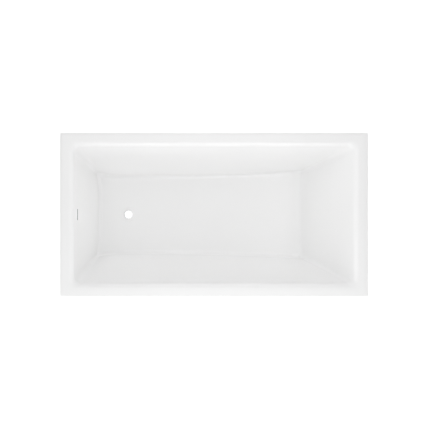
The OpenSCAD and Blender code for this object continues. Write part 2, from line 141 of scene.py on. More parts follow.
# Overflow hose and its nuts.
HOSE_R = 0.011
HOSE_BEND = 0.100
HOSE_PITCH = 0.0045
NUT_WEB = 0.006

# A lathe's points on its own axis have this radius, so that they can be joined there.
AXIS = 1e-9

half_l, half_w, rim_z = cad_high
floor_z = rim_z - BASIN_DEPTH
lip_bottom = rim_z - LIP_DEPTH


def middle(node):
    """Centre of a CAD node's box."""
    low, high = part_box(node)
    return (low + high) / 2


def half_width(node):
    """Radius of a round, upright CAD node."""
    low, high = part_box(node)
    return (high.x - low.x) / 2


drain_x = middle("plug_cap").x
cross_rails = [f"cross_rail_{i}" for i in range(1, 4)]
long_rails = ["long_rail_front", "long_rail_back"]
crossings = [(middle(c).x, middle(r).y) for c in cross_rails for r in long_rails]
# Numbers of the posts, and of the feet.
supports = range(1, 7)
foot_places = [middle(f"foot_pad_{i}") for i in supports]
cross_low, cross_high = (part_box("cross_rail_1")[k].z for k in (0, 1))
long_low, long_high = (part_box("long_rail_front")[k].z for k in (0, 1))

# Walls of the basin: where each starts at the rim, how it leans, and its round.
DRAIN_END = (half_l - RIM_FLAT, math.radians(DRAIN_TILT), RIM_ROUND)
BACKREST = (half_l - RIM_FLAT, math.radians(BACK_TILT), BACK_ROUND)
LONG_SIDE = (half_w - RIM_FLAT, math.radians(SIDE_TILT), RIM_ROUND)


# ---- Meshes ----

def ring_faces(count, around, closed=False):
    """Quads between successive rings of points. With closed, the last ring joins the first."""
    faces = []
    for j in range(count if closed else count - 1):
        a, b = j * around, (j + 1) % count * around
        for i in range(around):
            k = (i + 1) % around
            faces.append((a + i, a + k, b + k, b + i))
    return faces


def loft(rings, closed=False):
    """Solid through rings of points: closed on itself, or with a flat face at each end."""
    around = len(rings[0])
    faces = ring_faces(len(rings), around, closed)
    verts = [p for ring in rings for p in ring]
    if not closed:
        faces += [tuple(range(around))[::-1], tuple(range(len(verts) - around, len(verts)))]
    return verts, faces


def lathe(profile, steps=64, centre=(0, 0), closed=True, shape=None):
    """Turns points (radius, height) about a vertical axis. shape may change a point by its angle."""
    rings = []
    for r, z in profile:
        ring = []
        for i in range(steps):
            a = 2 * math.pi * i / steps
            turned_r, turned_z = shape(r, z, a) if shape else (r, z)
            ring.append((centre[0] + turned_r * math.cos(a), centre[1] + turned_r * math.sin(a), turned_z))
        rings.append(ring)
    verts = [p for ring in rings for p in ring]
    return verts, ring_faces(len(rings), steps, closed)


def merged(*parts):
    """Several parts as one list of points and faces."""
    verts, faces = [], []
    for part_verts, part_faces in parts:
        start = len(verts)
        verts += list(part_verts)
        faces += [tuple(start + k for k in face) for face in part_faces]
    return verts, faces


def moved(part, matrix):
    """A copy of the part, moved by the matrix."""
    return [tuple(matrix @ Vector(v)) for v in part[0]], part[1]


def rounded_box(low, high, r, segments=3):
    """Box between two corners, with every edge rounded."""
    low, high = Vector(low), Vector(high)
    made = bmesh.new()
    bmesh.ops.create_cube(made, size=1)
    for v in made.verts:
        v.co = Vector((low[k] + (high[k] - low[k]) * (v.co[k] + 0.5)) for k in range(3))
    bmesh.ops.bevel(made, geom=list(made.edges), offset=r, segments=segments, profile=0.5, affect="EDGES")
    made.verts.index_update()
    part = [tuple(v.co) for v in made.verts], [tuple(v.index for v in f.verts) for f in made.faces]
    made.free()
    return part


def shade(made, sharp):
    """Smooth faces, whose edges stay crisp where they turn by more than sharp degrees."""
    for edge in made.edges:
        edge.smooth = edge.calc_face_angle(0) < math.radians(sharp)
    for face in made.faces:
        face.smooth = True


def new_mesh(name, part, materials, painted=None, sharp=SHARP):
    """Mesh object with smooth faces and crisp edges. painted gives each face its material's number."""
    verts, faces = part
    mesh = bpy.data.meshes.new(name)
    mesh.from_pydata([tuple(v) for v in verts], [], faces)
    if painted:
        mesh.polygons.foreach_set("material_index", painted)
    tidy = bmesh.new()
    tidy.from_mesh(mesh)
    bmesh.ops.remove_doubles(tidy, verts=tidy.verts, dist=1e-6)
    bmesh.ops.recalc_face_normals(tidy, faces=tidy.faces)
    shade(tidy, sharp)
    tidy.to_mesh(mesh)
    tidy.free()
    for material in materials:
        mesh.materials.append(material)
    piece = bpy.data.objects.new(name, mesh)
    bpy.context.scene.collection.objects.link(piece)
    return piece


def place(piece, body, slot, *stands_for):
    """Hides the CAD nodes that the piece stands for, and hangs the piece on its body's empty."""
    if stands_for:
        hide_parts(*stands_for)
    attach(piece, body)
    return piece


def cut(piece, cutter, sharp=SHARP):
    """Takes the cutter's solid out of the piece's mesh."""
    tool = new_mesh(piece.name + "_cutter", cutter, piece.data.materials)
    change = piece.modifiers.new("Cut", "BOOLEAN")
    change.operation = "DIFFERENCE"
    change.solver = "EXACT"
    change.object = tool
    bpy.context.view_layer.update()
    shaped = bpy.data.meshes.new_from_object(piece.evaluated_get(bpy.context.evaluated_depsgraph_get()))
    piece.modifiers.clear()
    made = bmesh.new()
    made.from_mesh(shaped)
    shade(made, sharp)
    made.to_mesh(shaped)
    made.free()
    piece.data = shaped
    bpy.data.objects.remove(tool)


# ---- Materials ----

class Look:
    """A procedural material. Uniform values are set on the shader, and patterns are linked to it."""

    def __init__(self, name, color, roughness, metallic=0.0, **values):
        self.material = bpy.data.materials.new(name)
        self.material.use_nodes = True
        tree = self.material.node_tree
        self.nodes, self.links = tree.nodes, tree.links
        self.shader = self.nodes["Principled BSDF"]
        self.place = self.nodes.new("ShaderNodeTexCoord").outputs["Object"]
        self.normal = None
        self.set(self.shader, Base_Color=(*color, 1), Roughness=roughness, Metallic=metallic, **values)

    def set(self, node, **values):
        """Gives sockets their values. An underscore stands for the space in a socket's name."""
        for key, value in values.items():
            node.inputs[key.replace("_", " ")].default_value = value

    def pattern(self, kind, scale, stretch=(1, 1, 1), output="Fac", props=(), **values):
        """A texture over the object's own coordinates, which are stretched first."""
        mapping = self.nodes.new("ShaderNodeMapping")
        mapping.inputs["Scale"].default_value = stretch
        self.links.new(self.place, mapping.inputs["Vector"])
        texture = self.nodes.new("ShaderNodeTex" + kind)
        for key, value in props:
            setattr(texture, key, value)
        self.set(texture, Scale=scale, **values)
        self.links.new(mapping.outputs["Vector"], texture.inputs["Vector"])
        return texture.outputs[output]

    def ranged(self, factor, low, high):
        """The factor, from 0 to 1, spread between low and high."""
        node = self.nodes.new("ShaderNodeMapRange")
        self.set(node, To_Min=low, To_Max=high)
        self.links.new(factor, node.inputs["Value"])
        return node.outputs["Result"]

    def tint(self, factor, *colors):
        """Colours spread evenly over the factor."""
        ramp = self.nodes.new("ShaderNodeValToRGB")
        stops = ramp.color_ramp.elements
        while len(stops) < len(colors):
            stops.new(0.5)
        for i, color in enumerate(colors):
            stops[i].position = i / (len(colors) - 1)
            stops[i].color = (*color, 1)
        self.links.new(factor, ramp.inputs["Fac"])
        self.links.new(ramp.outputs["Color"], self.shader.inputs["Base Color"])

    def gloss(self, factor, low, high):
        """Roughness that changes with the factor."""
        self.links.new(self.ranged(factor, low, high), self.shader.inputs["Roughness"])

    def relief(self, factor, height, strength=1.0):
        """Adds bumps of a height in metres to those already there."""
        bump = self.nodes.new("ShaderNodeBump")
        self.set(bump, Strength=strength, Distance=height)
        self.links.new(factor, bump.inputs["Height"])
        if self.normal:
            self.links.new(self.normal, bump.inputs["Normal"])
        self.normal = bump.outputs["Normal"]
        self.links.new(self.normal, self.shader.inputs["Normal"])


def acrylic(name, albedo, roughness):
    """Formed acrylic: an even white with faint clouds, slight waves and small changes of gloss."""
    look = Look(name, (albedo, albedo, albedo), roughness, IOR=1.49)
    cloud = look.pattern("Noise", 3.0, Detail=3.0)
    dim, bright = albedo - 0.008, albedo + 0.008
    look.tint(cloud, (dim, dim, albedo - 0.010), (bright, bright, bright))
    look.gloss(look.pattern("Noise", 14.0, Detail=5.0), roughness - 0.05, roughness + 0.07)
    look.relief(look.pattern("Noise", 9.0, Detail=1.0), 0.0004, 0.5)
    return look.material


def laminate():
    """Resin over chopped glass strands, rolled on by hand."""
    look = Look("Laminate_Back", (0.60, 0.62, 0.56), 0.45, IOR=1.52)
    strands = look.pattern("Noise", 55.0, (1, 6, 1), Detail=6.0, Distortion=3.0)
    look.tint(strands, (0.48, 0.50, 0.43), (0.66, 0.67, 0.61), (0.76, 0.77, 0.72))
    look.gloss(look.pattern("Noise", 12.0, Detail=4.0), 0.28, 0.7)
    look.relief(strands, 0.0008, 0.7)
    look.relief(look.pattern("Noise", 18.0, Detail=2.0), 0.003, 0.6)
    return look.material


def moulded(name, color, roughness, speck=0.04, grain=900.0, height=0.00008, **values):
    """Moulded plastic or rubber: a fine grain and slow changes of gloss."""
    look = Look(name, color, roughness, **values)
    cloud = look.pattern("Noise", 25.0, Detail=4.0)
    look.tint(cloud, [c * (1 - speck) for c in color], [min(1, c * (1 + speck)) for c in color])
    look.gloss(look.pattern("Noise", 70.0, Detail=5.0), roughness * 0.75, min(1, roughness * 1.25))
    look.relief(look.pattern("Noise", grain, Detail=2.0), height, 0.6)
    return look.material


def metal(name, low, high, roughness, scratch=(1, 1, 1), scale=300.0, height=0.00004):
    """Plain or plated metal, with marks that run the way it was worked."""
    look = Look(name, high, roughness, 1.0)
    marks = look.pattern("Noise", scale, scratch, Detail=6.0, Roughness=0.7)
    look.tint(look.pattern("Noise", 40.0, Detail=5.0), low, high)
    look.gloss(marks, roughness * 0.7, min(1, roughness * 1.4))
    look.relief(marks, height, 0.5)
    return look.material


def galvanised():
    """Hot-dip zinc with its crystal spangle and dull patches."""
    look = Look("Galvanised_Steel", (0.55, 0.57, 0.58), 0.45, 0.9)
    spangle = look.pattern("Voronoi", 90.0, output="Color", Randomness=1.0)
    look.tint(spangle, (0.40, 0.42, 0.43), (0.55, 0.57, 0.58), (0.66, 0.68, 0.69))
    look.gloss(spangle, 0.32, 0.62)
    look.relief(look.pattern("Noise", 120.0, Detail=5.0), 0.0002, 0.5)
    return look.material


def yellow_zinc():
    """Yellow chromate, whose colour drifts as a thin film's does."""
    look = Look("Yellow_Zinc", (0.72, 0.58, 0.30), 0.3, 1.0)
    film = look.pattern("Noise", 160.0, Detail=3.0, Distortion=1.5)
    look.tint(film, (0.62, 0.52, 0.22), (0.76, 0.61, 0.30), (0.70, 0.55, 0.40), (0.58, 0.62, 0.42))
    look.gloss(look.pattern("Noise", 400.0, Detail=4.0), 0.2, 0.42)
    return look.material


def softwood(name, along):
    """Sawn softwood whose grain runs along X (0) or Y (1)."""
    look = Look(name, (0.62, 0.44, 0.26), 0.7)
    slow = [0.04 if k == along else 1.0 for k in range(3)]
    fibre = [0.03 if k == along else 1.0 for k in range(3)]
    rings = look.pattern("Wave", 45.0, slow, props=(("bands_direction", "DIAGONAL"),),
                         Distortion=7.0, Detail=3.0, Detail_Scale=1.5)
    look.tint(rings, (0.74, 0.57, 0.37), (0.68, 0.50, 0.30), (0.50, 0.32, 0.17))
    strands = look.pattern("Noise", 900.0, fibre, Detail=5.0)
    look.gloss(strands, 0.6, 0.85)
    look.relief(strands, 0.0004, 0.7)
    look.relief(rings, 0.0002, 0.4)
    return look.material


def chipboard():
    """Pressed wood chips: each cell is a chip with its own colour."""
    look = Look("Particle_Board", (0.58, 0.44, 0.29), 0.8)
    chips = look.pattern("Voronoi", 260.0, (1, 2.2, 1.6), output="Color", Randomness=1.0)
    look.tint(chips, (0.36, 0.24, 0.14), (0.56, 0.41, 0.26), (0.68, 0.53, 0.36), (0.78, 0.65, 0.47))
    look.gloss(look.pattern("Noise", 80.0, Detail=4.0), 0.65, 0.9)
    look.relief(chips, 0.0004, 0.6)
    return look.material


def chrome():
    """Polished plate with very faint wiping marks."""
    look = Look("Polished_Chrome", (0.95, 0.95, 0.95), 0.04, 1.0)
    wiped = look.pattern("Noise", 60.0, (1, 5, 1), Detail=6.0)
    look.tint(wiped, (0.93, 0.93, 0.94), (0.97, 0.97, 0.97))
    look.gloss(wiped, 0.02, 0.07)
    return look.material


WHITE = acrylic("White_Acrylic", 0.95, 0.15)
# The skirt's acrylic is the basin's, made a little darker: painted shade on the skirt's sides.
SKIRT_SHADED_WHITE = acrylic("Skirt_Acrylic_Shaded", 0.90, 0.35)
BACKING = laminate()
STEEL = galvanised()
TIMBER_LONG = softwood("Softwood_Long", 0)
TIMBER_END = softwood("Softwood_End", 1)
BOARD = chipboard()
CHROME = chrome()
BLACK_NYLON = moulded("Black_Nylon", (0.035, 0.035, 0.038), 0.5, speck=0.2, height=0.00012)
RUBBER = moulded("Soft_Rubber", (0.03, 0.03, 0.03), 0.75, speck=0.3, grain=500.0)
WHITE_FITTING = moulded("White_Fitting", (0.95, 0.95, 0.95), 0.18, speck=0.008, height=0.00002, IOR=1.5)
POLYPROPYLENE = moulded("White_Polypropylene", (0.80, 0.80, 0.77), 0.4, speck=0.03)
POLYETHYLENE = moulded("Hose_Polyethylene", (0.72, 0.73, 0.71), 0.38, speck=0.05, Subsurface_Weight=0.15)
BRIGHT_ZINC = metal("Bright_Zinc", (0.60, 0.61, 0.62), (0.78, 0.78, 0.75), 0.28)
YELLOW_ZINC = yellow_zinc()
BRASS = metal("Turned_Brass", (0.66, 0.49, 0.22), (0.80, 0.63, 0.33), 0.25, (1, 1, 20), 400.0)
SPRING_STEEL = metal("Spring_Steel", (0.50, 0.50, 0.52), (0.66, 0.66, 0.68), 0.3, (1, 1, 8))


# ---- Shape of the basin ----

def reach(z, wall, out):
    """Reach of a wall from the middle at height z. The surface is the inside one moved out by out."""
    start, tilt, round_r = wall
    round_r -= out
    drop = rim_z - out - z
    join = round_r * (1 - math.sin(tilt))
    top = start - round_r * math.cos(tilt)
    foot_r = FLOOR_ROUND + out
    centre = floor_z + FLOOR_ROUND * math.cos(math.radians(FLOOR_CREASE))
    tangent = centre - foot_r * math.sin(tilt)
    foot = top - (rim_z - out - tangent - join) * math.tan(tilt) - foot_r * math.cos(tilt)
    if drop < join:
        return start - math.sqrt(max(0, round_r ** 2 - (round_r - drop) ** 2))
    if z < tangent:
        return foot + math.sqrt(max(0, foot_r ** 2 - (centre - z) ** 2))
    return top - (drop - join) * math.tan(tilt)


# Points round each corner and along each side of an outline.
CORNER_STEPS = 14
LONG_STEPS = 60
SHORT_STEPS = 34


def quarter(x, y, r, start):
    """Quarter of a circle about (x, y), from the angle start."""
    turn = [start + math.pi / 2 * i / CORNER_STEPS for i in range(CORNER_STEPS + 1)]
    return [(x + r * math.cos(a), y + r * math.sin(a)) for a in turn]


def spread(p, q, n):
    """Points between p and q, closer together near the two ends."""
    share = [(1 - math.cos(math.pi * i / n)) / 2 for i in range(1, n)]
    return [(p[0] + (q[0] - p[0]) * s, p[1] + (q[1] - p[1]) * s) for s in share]


def outline(low_x, high_x, half_y, r):
    """Rounded rectangle, anticlockwise, always with the same number of points."""
    a = quarter(high_x - r, half_y - r, r, 0)
    b = quarter(low_x + r, half_y - r, r, math.pi / 2)
    c = quarter(low_x + r, r - half_y, r, math.pi)
    d = quarter(high_x - r, r - half_y, r, 3 * math.pi / 2)
    return (a + spread(a[-1], b[0], LONG_STEPS) + b + spread(b[-1], c[0], SHORT_STEPS)
            + c + spread(c[-1], d[0], LONG_STEPS) + d + spread(d[-1], a[0], SHORT_STEPS))


def flared(x, y, low_x, high_x, half_y, share):
    """Moves a point out towards the corners of the outline it belongs to."""
    s = min(1, max(0, (x - low_x) / (high_x - low_x)))
    v = y / half_y
    side = FLARE_DRAIN * (1 - s) ** 20 + FLARE_BACK * s ** 2.5 - FLARE_WAIST
    end = FLARE_END * abs(v) ** 3 - FLARE_WAIST
    return x + share * end * (2 * s - 1), y + share * side * v


def basin_ring(z, out=0.0):
    """Ring round the basin's wall at height z. Only the inside surface falls to the drain."""
    low_x = -reach(z, DRAIN_END, out)
    high_x = reach(z, BACKREST, out)
    half_y = reach(z, LONG_SIDE, out)
    depth = min(1, max(0, (rim_z - out - z) / BASIN_DEPTH))
    r = LOWER_CORNER + (UPPER_CORNER - LOWER_CORNER) * (1 - depth) + out
    points = []
    for x, y in outline(low_x, high_x, half_y, r):
        x, y = flared(x, y, low_x, high_x, half_y, depth ** 2)
        rise = 0 if out else FLOOR_FALL * depth ** 2 * max(0, x - drain_x) / (-2 * drain_x)
        points.append((x, y, z + rise))
    return points


def rim_ring(inset, z, corner=0.0):
    """Ring that follows the rim's outer edge, as far inside it as inset."""
    corner = max(0.001, corner or RIM_CORNER - inset)
    return [(x, y, z) for x, y in outline(inset - half_l, half_l - inset, half_w - inset, corner)]


def basin_levels(out, arc_steps, wall_steps):
    """Heights from the rim down to the floor, closer together on the two rounds."""
    top, foot = rim_z - out, floor_z - out
    foot_share, crowding = 0.68, 1.4
    upper = (RIM_ROUND - out) * (1 - math.sin(LONG_SIDE[1]))
    lower = (FLOOR_ROUND + out) * foot_share
    drops = [upper * (1 - math.cos(math.pi / 2 * i / arc_steps)) for i in range(arc_steps + 1)]
    rises = [lower * (i / arc_steps) ** crowding for i in range(arc_steps, -1, -1)]
    wall_top, wall_foot = top - upper, foot + lower
    wall = [wall_top + (wall_foot - wall_top) * i / wall_steps for i in range(1, wall_steps)]
    return [top - d for d in drops] + wall + [foot + r for r in rises]


def round_drain(ring, radius, share, z):
    """Points part way from a ring of the floor to a circle about the drain."""
    points = []
    for x, y, ring_z in ring:
        away = math.hypot(x - drain_x, y)
        cx, cy = drain_x + (x - drain_x) * radius / away, y * radius / away
        points.append((x + (cx - x) * share, y + (cy - y) * share, ring_z + (z - ring_z) * share))
    return points


# ---- Shell and skirt ----

def slot_outline(grow, depth, steps=12):
    """Ring round the overflow slot, in the end wall's frame, grown by grow and at a depth in the wall."""
    r = SLOT_HEIGHT / 2 + grow
    run = (SLOT_LENGTH - SLOT_HEIGHT) / 2
    ring = []
    for side in (1, -1):
        for i in range(steps + 1):
            a = math.pi * i / steps
            ring.append((side * r * math.cos(a), side * (run + r * math.sin(a)), depth))
    return ring


def overflow_frame():
    """Frame of the end wall at the slot: Z points out through the wall, X up along it, Y across."""
    slot_z = rim_z - SLOT_DROP
    slot_x = FLARE_WAIST * (SLOT_DROP / BASIN_DEPTH) ** 2 - reach(slot_z, DRAIN_END, 0)
    return Matrix.Translation((slot_x, 0, slot_z)) @ Matrix.Rotation(-math.pi / 2 - DRAIN_END[1], 4, "Y")


def bath_shell():
    """One closed skin: floor, walls, rim and lip in white, and the laminate behind them."""
    inner = [basin_ring(z) for z in basin_levels(0, 14, 24)]
    outer = [basin_ring(z, SHELL_WALL) for z in basin_levels(SHELL_WALL, 6, 10)]
    recess_top_r, recess_z = half_width("waste_flange") + 0.0005, floor_z - 0.004
    recess_r = recess_top_r - 0.0004
    boss_r, boss_low = 0.042, floor_z - 0.010
    hole_r = 0.026
    floor_ring, under_ring = inner[-1], outer[-1]
    inner += [round_drain(floor_ring, recess_top_r, s, floor_z) for s in (0.25, 0.5, 0.75, 0.93, 1)]
    inner += [round_drain(floor_ring, recess_r, 1, floor_z - 0.0005),
              round_drain(floor_ring, recess_r, 1, recess_z),
              round_drain(floor_ring, hole_r, 1, recess_z),
              round_drain(floor_ring, hole_r, 1, boss_low)]
    outer += [round_drain(under_ring, boss_r, s, floor_z - SHELL_WALL) for s in (0.4, 0.8, 1)]
    outer += [round_drain(under_ring, boss_r, 1, boss_low)]
    # Inset and drop of each ring over the rim's rounded edge and down inside its lip.
    edge = [(RIM_FLAT / 2, 0), (0.0035, 0), (0.0018, 0.0003), (0.0007, 0.0010), (0.0001, 0.0022), (0, 0.0036),
            (0, LIP_DEPTH - 0.0012), (0.0006, LIP_DEPTH - 0.0003), (0.0016, LIP_DEPTH),
            (SHELL_WALL, LIP_DEPTH), (SHELL_WALL, SHELL_WALL)]
    lip = [rim_ring(inset, rim_z - drop) for inset, drop in edge]
    rings = list(reversed(inner)) + lip + outer
    part = loft(rings, closed=True)
    # White reaches the lower edge of the lip, and the laminate is behind it.
    white_rings = len(inner) + len(lip) - 2
    painted = [0 if i // len(rings[0]) < white_rings else 1 for i in range(len(part[1]))]
    piece = new_mesh("Basin_And_Rim", part, [WHITE, BACKING], painted, SHELL_SHARP)
    hole = loft([slot_outline(HOLE_MARGIN / 2, depth) for depth in (-0.010, 0.020)])
    cut(piece, moved(hole, overflow_frame()), SHELL_SHARP)
    return place(piece, "bath", "shell", "bath_shell")


def outer_skirt():
    """Four-sided skirt: face, foot return and the tongue inside the rim's lip."""
    foot, top = (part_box("outer_skirt")[k].z for k in (0, 1))
    shoulder = lip_bottom - 0.001
    face, back = SKIRT_INSET, SKIRT_INSET + SKIRT_WALL
    ledge = shoulder - SKIRT_WALL
    profile = [(face + 0.0022, foot), (face + 0.0009, foot + 0.0004), (face + 0.0002, foot + 0.0013),
               (face, foot + 0.003), (face, shoulder - 0.0018), (face + 0.0003, shoulder - 0.0007),
               (face + 0.0012, shoulder), (TONGUE_OUTSIDE, shoulder), (TONGUE_OUTSIDE, top - 0.0005),
               (TONGUE_OUTSIDE + 0.0005, top), (TONGUE_INSIDE - 0.0005, top), (TONGUE_INSIDE, top - 0.0005),
               (TONGUE_INSIDE, ledge), (back, ledge), (back, foot + SKIRT_WALL + 0.003),
               (back + 0.0008, foot + SKIRT_WALL + 0.0008), (back + 0.003, foot + SKIRT_WALL),
               (SKIRT_RETURN - 0.001, foot + SKIRT_WALL), (SKIRT_RETURN, foot + SKIRT_WALL - 0.001),
               (SKIRT_RETURN, foot + 0.001), (SKIRT_RETURN - 0.001, foot)]
    rings = [rim_ring(inset, z, RIM_CORNER - inset / 2) for inset, z in profile]
    part = loft(rings, closed=True)
    # The laminate shows from the tongue's outside, over it and down to the return.
    tongue_ring, return_ring = 7, 16
    painted = [1 if tongue_ring <= i // len(rings[0]) <= return_ring else 0 for i in range(len(part[1]))]
    # The skirt's face takes the darker copy of the acrylic, which is painted shade.
    piece = new_mesh("Outer_Skirt", part, [SKIRT_SHADED_WHITE, BACKING], painted)
    return place(piece, "bath", "skirt", "outer_skirt")


# ---- Timber and steel frame ----

def battens():
    """Timber under the rim, with the grain along each piece."""
    for side, look in (("front", TIMBER_LONG), ("back", TIMBER_LONG),
                       ("drain_end", TIMBER_END), ("backrest_end", TIMBER_END)):
        low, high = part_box("rim_batten_" + side)
        piece = new_mesh("Rim_Batten_" + side.title(), rounded_box(low, high, 0.0008), [look])
        place(piece, "bath", "timber", "rim_batten_" + side)


def section(side, corner, z, steps=5):
    """Square with rounded corners, round the Z axis at height z."""
    ring = []
    for k in range(4):
        start = k * math.pi / 2
        cx = (side / 2 - corner) * math.copysign(1, math.cos(start + math.pi / 4))
        cy = (side / 2 - corner) * math.copysign(1, math.sin(start + math.pi / 4))
        for i in range(steps + 1):
            a = start + math.pi / 2 * i / steps
            ring.append((cx + corner * math.cos(a), cy + corner * math.sin(a), z))
    return ring


def square_tube(side, low, high):
    """Rolled square tube along Z."""
    inside, inner_corner = side - 2 * TUBE_WALL, TUBE_CORNER - TUBE_WALL
    rings = [section(side, TUBE_CORNER, low), section(side, TUBE_CORNER, high),
             section(inside, inner_corner, high), section(inside, inner_corner, low)]
    return loft(rings, closed=True)


def drill(x, y, low, high, d, steps=24):
    """Solid cylinder that makes a hole of diameter d between two heights."""
    turn = [2 * math.pi * i / steps for i in range(steps)]
    rings = [[(d / 2 * math.cos(a), d / 2 * math.sin(a), z) for a in turn] for z in (low, high)]
    return moved(loft(rings), Matrix.Translation((x, y, 0)))


def rail(node, axis, holes):
    """Square tube along X (0) or Y (1), in the CAD node's place, with its holes."""
    low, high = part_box(node)
    centre = (low + high) / 2
    length = (high - low)[axis]
    turn = Matrix.Rotation(math.pi / 2, 4, "Y") if axis == 0 else Matrix.Rotation(-math.pi / 2, 4, "X")
    tube = square_tube(high.z - low.z, -length / 2, length / 2)
    piece = new_mesh(node.title(), moved(tube, Matrix.Translation(centre) @ turn), [STEEL])
    cut(piece, merged(*holes))
    place(piece, "bath", "frame_steel", node)


def rails():
    """The long rails under the board and the cross rails under them, bored for bolts, screws and stems."""
    past, play, stem_play = 0.001, 0.0003, 0.001
    under, over, bolt_over = long_low - past, long_high + past, long_low + 0.015
    for node in long_rails:
        y = middle(node).y
        bolts = [drill(middle(c).x, y, under, bolt_over, BOLT_D + play) for c in cross_rails]
        screws = [drill(x, y, under, over, SCREW_D + play) for x in BOARD_SCREW_X]
        rail(node, 0, bolts + screws)
    under, over = cross_low - past, cross_high + past
    for node in cross_rails:
        x = middle(node).x
        bolts = [drill(x, middle(r).y, under, over, BOLT_D + play) for r in long_rails]
        stems = [drill(p.x, p.y, under, over, STEM_D + stem_play)
                 for p in foot_places if abs(p.x - x) < POST / 2]
        rail(node, 1, bolts + stems)


def weld_bead(z, up, side):
    """Rippled fillet along one foot or head of a post."""
    leg, ripple, pitch, steps = 0.0022, 0.0003, 0.0022, 4
    root, count = POST / 2 - 0.0005, int(POST / pitch) * steps
    rings = []
    for k in range(count + 1):
        y = (k / count - 0.5) * (POST - 0.002)
        grow = leg + ripple * math.sin(2 * math.pi * k / steps)
        rings.append([(side * (root + out), y, z + up * rise) for out, rise in
                      ((0, 0), (grow, 0), (grow * 0.55, grow * 0.55), (0, grow))])
    return loft(rings)


def post(i):
    """Post welded between its foot plate on a cross rail and its head plate under a batten."""
    node = f"frame_post_{i}"
    low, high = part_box(node)
    centre = (low + high) / 2
    foot_plate, head_plate = low.z + PLATE_T, high.z - PLATE_T
    half_rail = (cross_high - cross_low) / 2
    half_head = (high.x - low.x) / 2
    joints = ((foot_plate, 1), (head_plate, -1))
    part = merged(square_tube(POST, foot_plate - 0.0004, head_plate + 0.0004),
                  rounded_box((-half_rail, -POST / 2, low.z), (half_rail, POST / 2, foot_plate), 0.0005, 2),
                  rounded_box((-half_head, -POST / 2, head_plate), (half_head, POST / 2, high.z), 0.0005, 2),
                  *[weld_bead(z, up, side) for z, up in joints for side in (-1, 1)])
    piece = new_mesh(node.title(), moved(part, Matrix.Translation((centre.x, centre.y, 0))), [STEEL])
    place(piece, "bath", "frame_steel", node)


def end_cap(size, thickness):
    """Ribbed plug and its cover, facing +Z."""
    plug = size / 2 - TUBE_WALL - 0.0002
    core, fin_t, depth = plug - 0.004, 0.0012, 0.010
    fin_tops = (-0.002, -0.005, -0.008)
    cover = rounded_box((-size / 2, -size / 2, 0), (size / 2, size / 2, thickness), 0.0012)
    stub = rounded_box((-core, -core, -depth), (core, core, 0.0005), 0.0005, 2)
    fins = [rounded_box((-plug, -plug, z - fin_t), (plug, plug, z), 0.0004, 2) for z in fin_tops]
    return merged(cover, stub, *fins)


def rail_end_caps():
    """One cap in each end of each rail."""
    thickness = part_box("rail_end_caps")[1].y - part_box("cross_rail_1")[1].y
    size = cross_high - cross_low
    caps = []
    for node, axis in [(c, 1) for c in cross_rails] + [(r, 0) for r in long_rails]:
        low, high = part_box(node)
        for side, end in ((-1, low), (1, high)):
            spot = middle(node)
            spot[axis] = end[axis]
            if axis:
                turn = Matrix.Rotation(-side * math.pi / 2, 4, "X")
            else:
                turn = Matrix.Rotation(side * math.pi / 2, 4, "Y")
            caps.append(moved(end_cap(size, thickness), Matrix.Translation(spot) @ turn))
    piece = new_mesh("Rail_End_Caps", merged(*caps), [BLACK_NYLON])
    place(piece, "bath", "foot_plastic", "rail_end_caps")


# ---- Fasteners ----

def hexagon(corners_d, low, high, bore_d, steps=60):
    """Hexagonal nut or head with chamfered corners at both faces. A bore of 0 makes it solid."""
    flat_r = corners_d / 2 * math.cos(math.pi / 6)
    face_r = flat_r * 0.96
    half = (low + high) / 2

    def shape(r, z, a):
        if r < flat_r:
            return r, z
        corner_r = flat_r / math.cos(a % (math.pi / 3) - math.pi / 6)
        fall = (corner_r - flat_r) * math.tan(math.pi / 6)
        return corner_r, z + (fall if z < half else -fall)

    bore = max(bore_d / 2, AXIS)
    profile = [(bore, low), (face_r, low), (flat_r, low), (flat_r, high), (face_r, high), (bore, high)]
    return lathe(profile, steps, closed=bore_d > 0, shape=shape)


def rod(r, low, high, steps=24):
    """Plain rod with chamfered ends."""
    chamfer = r * 0.15
    return lathe([(AXIS, low), (r - chamfer, low), (r, low + chamfer), (r, high - chamfer),
                  (r - chamfer, high), (AXIS, high)], steps, closed=False)


def threaded(r, low, high, pitch, depth=0.0006, steps=20, rows=4):
    """Rod with a helical thread, which runs out at both ends."""
    count = int((high - low) / pitch * rows)
    rings = []
    for j in range(count + 1):
        z = low + (high - low) * j / count
        lead = min(1.0, (z - low) / pitch, (high - z) / pitch)
        ring = []
        for i in range(steps):
            groove = abs(2 * ((j / rows - i / steps) % 1) - 1)
            out = r - depth + depth * (1 - groove) * lead
            a = 2 * math.pi * i / steps
            ring.append((out * math.cos(a), out * math.sin(a), z))
        rings.append(ring)
    return loft(rings)


def at(places, part):
    """Copies of a part at places in plan."""
    return merged(*[moved(part, Matrix.Translation((x, y, 0))) for x, y in places])


def flanged_screw(head_z, length):
    """Hexagon-headed screw pointing up, with a washer face at head_z."""
    flange_low = head_z - 0.0012
    flange = lathe([(AXIS, flange_low), (SCREW_D * 0.85, flange_low), (SCREW_D, head_z - 0.0004),
                    (SCREW_D, head_z), (AXIS, head_z)], 32, closed=False)
    head = hexagon(SCREW_D * 1.6, head_z - SCREW_HEAD_T, head_z - 0.001, 0)
    return merged(flange, head, threaded(SCREW_D / 2, head_z - 0.0005, head_z + length, SCREW_PITCH, 0.0007))


